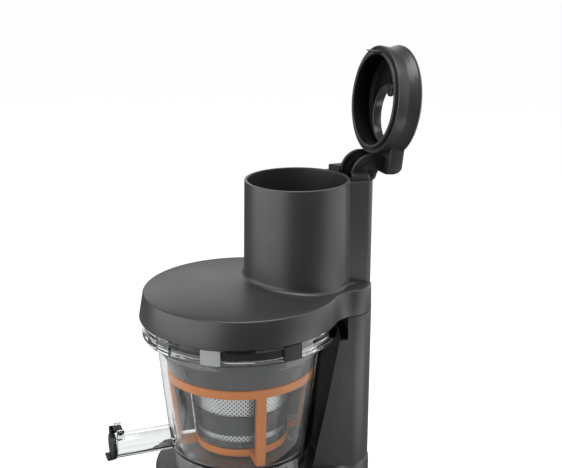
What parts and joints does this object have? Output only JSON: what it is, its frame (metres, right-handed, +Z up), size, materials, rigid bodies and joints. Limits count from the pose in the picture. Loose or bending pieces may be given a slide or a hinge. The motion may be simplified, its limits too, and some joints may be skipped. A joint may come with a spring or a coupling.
{
  "type": "slow juicer",
  "caption": "Slow juicer with a motor base and rear tower, bowl, strainer, turning wiper and auger, and a lid with a wide feed chute, its flip lid open",
  "frame": {"origin": "on the table plane, under the axis shared by the drive shaft, bowl, strainer and auger", "axes": "+Z up along the bowl axis, +Y towards the rear tower and the hinge of the flip lid, +X to the right as seen from the front"},
  "size_m": [0.1969, 0.2664, 0.5423],
  "materials": {
    "housing": "satin dark grey lacquer with a fine metallic sparkle over moulded ABS",
    "black_plastic": "matte black",
    "clear_bowl": "clear hard plastic",
    "strainer_grey": "dark grey, slightly glossy",
    "orange_plastic": "orange, satin",
    "auger_grey": "hard dark grey",
    "steel": "turned steel",
    "steel_mesh": "pierced stainless sheet",
    "rubber": "matte rubber",
    "silicone": "pale silicone",
    "gear_plastic": "ivory nylon",
    "cast_alloy": "die cast",
    "copper": "enamelled copper wire",
    "brass": "turned brass",
    "board_green": "lacquered board",
    "pale_plastic": "moulded, pale"
  },
  "bodies": {
    "base": {"base_housing": "housing", "tower_liner": "black_plastic", "base_plate": "black_plastic", "foot_ring": "rubber", "base_screws": "steel", "drive_collar": "black_plastic", "shaft_seal": "silicone", "output_bearings": "steel", "gearbox_case": "cast_alloy", "gearbox_cover": "cast_alloy", "gear_pin": "steel", "motor_mounts": "rubber", "motor_can": "steel", "motor_caps": "cast_alloy", "stator_core": "steel", "stator_windings": "copper", "rotor_bearings": "steel", "circuit_board": "board_green", "capacitor": "pale_plastic", "lid_sensor": "black_plastic", "switch_body": "black_plastic", "power_inlet": "black_plastic"},
    "rotor": {"rotor_shaft": "steel", "rotor_core": "steel", "motor_pinion": "brass", "cooling_fan": "black_plastic"},
    "step": {"step_gear": "gear_plastic"},
    "drive": {"output_gear": "gear_plastic", "drive_shaft": "steel"},
    "knob": {"control_knob": "auger_grey", "knob_marker": "orange_plastic"},
    "bowl": {"juicing_bowl": "clear_bowl", "bowl_seal": "silicone", "gear_stud": "steel", "strainer_frame": "strainer_grey", "strainer_mesh": "steel_mesh", "cap_pin": "steel", "flap_pin": "steel"},
    "wheel": {"wheel_gear": "gear_plastic"},
    "wiper": {"wiper_frame": "orange_plastic", "wiper_blades": "silicone"},
    "auger": {"auger": "auger_grey", "auger_socket": "steel", "auger_pin": "steel"},
    "cap": {"juice_cap": "black_plastic", "cap_seal": "silicone"},
    "flap": {"pulp_flap": "black_plastic"},
    "lid": {"bowl_lid": "housing", "lid_gasket": "silicone", "auger_bush": "brass", "lid_underplate": "black_plastic", "lid_magnet": "steel", "hinge_inserts": "black_plastic", "hinge_pin": "steel"},
    "flip": {"flip_lid": "housing"}
  },
  "joints": [
    {"name": "rotor_spin", "type": "hinge", "parent": "base", "child": "rotor", "pos_m": [0, 0, 0.06], "axis": [0, 0, 1], "continuous": true},
    {"name": "step_spin", "type": "hinge", "parent": "base", "child": "step", "pos_m": [0.018, 0.03118, 0.11], "axis": [0, 0, 1], "continuous": true},
    {"name": "drive_spin", "type": "hinge", "parent": "base", "child": "drive", "pos_m": [0, 0, 0.12], "axis": [0, 0, 1], "continuous": true},
    {"name": "knob_turn", "type": "hinge", "parent": "base", "child": "knob", "pos_m": [0, -0.09, 0.07], "axis": [0, -1, 0], "range_deg": [-45, 45]},
    {"name": "bowl_lift", "type": "slide", "parent": "base", "child": "bowl", "axis": [0, 0, 1], "range_m": [0, 0.16]},
    {"name": "wheel_spin", "type": "hinge", "parent": "bowl", "child": "wheel", "pos_m": [0.012, 0.02079, 0.21], "axis": [0, 0, 1], "continuous": true},
    {"name": "wiper_spin", "type": "hinge", "parent": "bowl", "child": "wiper", "pos_m": [0, 0, 0.24], "axis": [0, 0, 1], "continuous": true},
    {"name": "auger_spin", "type": "hinge", "parent": "bowl", "child": "auger", "pos_m": [0, 0, 0.25], "axis": [0, 0, 1], "continuous": true},
    {"name": "cap_swing", "type": "hinge", "parent": "bowl", "child": "cap", "pos_m": [0, -0.108, 0.2305], "axis": [-1, 0, 0], "range_deg": [0, 80]},
    {"name": "flap_swing", "type": "hinge", "parent": "bowl", "child": "flap", "pos_m": [-0.102, 0, 0.208], "axis": [0, 1, 0], "range_deg": [0, 60]},
    {"name": "lid_turn", "type": "hinge", "parent": "bowl", "child": "lid", "pos_m": [0, 0, 0.34], "axis": [0, 0, 1], "range_deg": [0, 25]},
    {"name": "flip_swing", "type": "hinge", "parent": "lid", "child": "flip", "pos_m": [0, 0.1139, 0.4354], "axis": [1, 0, 0], "range_deg": [0, 96.5]}
  ],
  "couplings": [
    {"joint": "step_spin", "follows": "rotor_spin", "ratio": -0.25},
    {"joint": "drive_spin", "follows": "rotor_spin", "ratio": 0.05},
    {"joint": "auger_spin", "follows": "rotor_spin", "ratio": 0.05},
    {"joint": "wheel_spin", "follows": "rotor_spin", "ratio": -0.064286},
    {"joint": "wiper_spin", "follows": "rotor_spin", "ratio": -0.019565}
  ]
}
